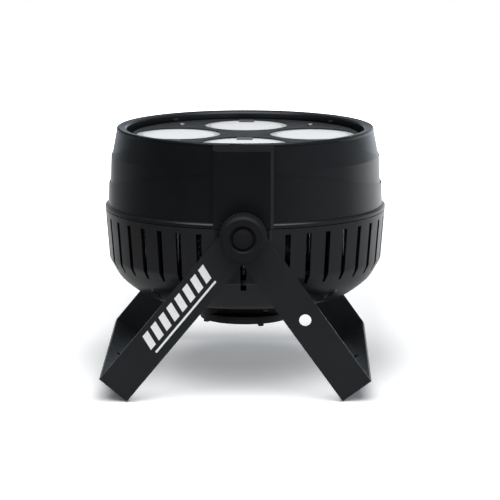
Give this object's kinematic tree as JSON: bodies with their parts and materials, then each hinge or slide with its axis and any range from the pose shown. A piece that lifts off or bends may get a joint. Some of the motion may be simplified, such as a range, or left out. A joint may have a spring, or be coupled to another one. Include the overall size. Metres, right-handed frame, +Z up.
{
  "type": "par can light",
  "caption": "Round stage par light standing lens-up on two crossed steel brackets, with milky lenses, a vented bowl, clamp knobs and a control pod underneath.",
  "frame": {"origin": "on the floor, straight under the body's axis, midway between the clamp knobs", "axes": "+Z up along the body's axis towards the lenses, +Y along the tilt axis from the front knob to the back knob, +X towards the shorter bracket's feet"},
  "size_m": [0.2476, 0.3054, 0.22],
  "materials": {
    "housing_plastic": "satin",
    "panel_black": "satin",
    "milky_lens": "milky translucent",
    "clip_grey": "satin",
    "powder_coat": "fine powder coat",
    "knob_plastic": "moulded",
    "bright_steel": "zinc plated",
    "black_washer": "matte",
    "black_screw": "black zinc",
    "cast_aluminium": "bare",
    "reflector_coat": "mirror coat",
    "led_white": "phosphor",
    "board_green": "solder mask",
    "fan_plastic": "moulded",
    "window_clear": "smoked, polished",
    "display_blue": "lit display",
    "socket_nylon": "moulded nylon",
    "inlet_nylon": "moulded nylon",
    "button_grey": "matte"
  },
  "bodies": {
    "head": {"control_board": "board_green", "control_cover": "housing_plastic", "cover_screws": "black_screw", "data_in": "socket_nylon", "data_out": "socket_nylon", "display_module": "display_blue", "display_window": "window_clear", "driver_board": "board_green", "driver_standoffs": "bright_steel", "fan_frame": "fan_plastic", "friction_washers": "black_washer", "front_housing": "housing_plastic", "front_panel": "panel_black", "heat_sink": "cast_aluminium", "housing_screws": "black_screw", "led_modules": "led_white", "led_plate": "cast_aluminium", "lens_back": "milky_lens", "lens_clips": "clip_grey", "lens_front": "milky_lens", "lens_left": "milky_lens", "lens_right": "milky_lens", "lug_screws": "black_screw", "panel_screws": "bright_steel", "pivot_inserts": "bright_steel", "pod_housing": "housing_plastic", "power_in": "inlet_nylon", "power_out": "socket_nylon", "rear_housing": "housing_plastic", "reflectors": "reflector_coat", "safety_lug": "powder_coat", "socket_screws": "black_screw", "spacer_washers": "black_washer"},
    "outer_bracket": {"outer_bracket": "powder_coat"},
    "inner_bracket": {"inner_bracket": "powder_coat"},
    "front_clamp": {"knob_front": "knob_plastic", "stud_front": "bright_steel"},
    "back_clamp": {"knob_back": "knob_plastic", "stud_back": "bright_steel"},
    "fan_rotor": {"fan_rotor": "fan_plastic"},
    "menu_button": {"button_menu": "button_grey"},
    "down_button": {"button_down": "button_grey"},
    "up_button": {"button_up": "button_grey"},
    "enter_button": {"button_enter": "button_grey"},
    "latch": {"data_out_latch": "button_grey"}
  },
  "joints": [
    {"name": "outer_bracket_swing", "type": "hinge", "parent": "head", "child": "outer_bracket", "pos_m": [0, 0, 0.1443], "axis": [0, 1, 0], "range_deg": [-174.6, 95.4]},
    {"name": "inner_bracket_swing", "type": "hinge", "parent": "head", "child": "inner_bracket", "pos_m": [0, 0, 0.1443], "axis": [0, 1, 0], "range_deg": [-99.3, 170.7]},
    {"name": "front_knob_turn", "type": "hinge", "parent": "head", "child": "front_clamp", "pos_m": [0, -0.1334, 0.1443], "axis": [0, -1, 0], "range_deg": [0, 720]},
    {"name": "back_knob_turn", "type": "hinge", "parent": "head", "child": "back_clamp", "pos_m": [0, 0.1334, 0.1443], "axis": [0, 1, 0], "range_deg": [0, 720]},
    {"name": "fan_spin", "type": "hinge", "parent": "head", "child": "fan_rotor", "pos_m": [0, 0, 0.137], "axis": [0, 0, 1], "continuous": true},
    {"name": "menu_press", "type": "slide", "parent": "head", "child": "menu_button", "axis": [0, 0, 1], "range_m": [0, 0.0008], "stiffness_N_per_m": 400},
    {"name": "down_press", "type": "slide", "parent": "head", "child": "down_button", "axis": [0, 0, 1], "range_m": [0, 0.0008], "stiffness_N_per_m": 400},
    {"name": "up_press", "type": "slide", "parent": "head", "child": "up_button", "axis": [0, 0, 1], "range_m": [0, 0.0008], "stiffness_N_per_m": 400},
    {"name": "enter_press", "type": "slide", "parent": "head", "child": "enter_button", "axis": [0, 0, 1], "range_m": [0, 0.0008], "stiffness_N_per_m": 400},
    {"name": "latch_press", "type": "slide", "parent": "head", "child": "latch", "axis": [0, 0, 1], "range_m": [0, 0.0015], "stiffness_N_per_m": 400}
  ]
}
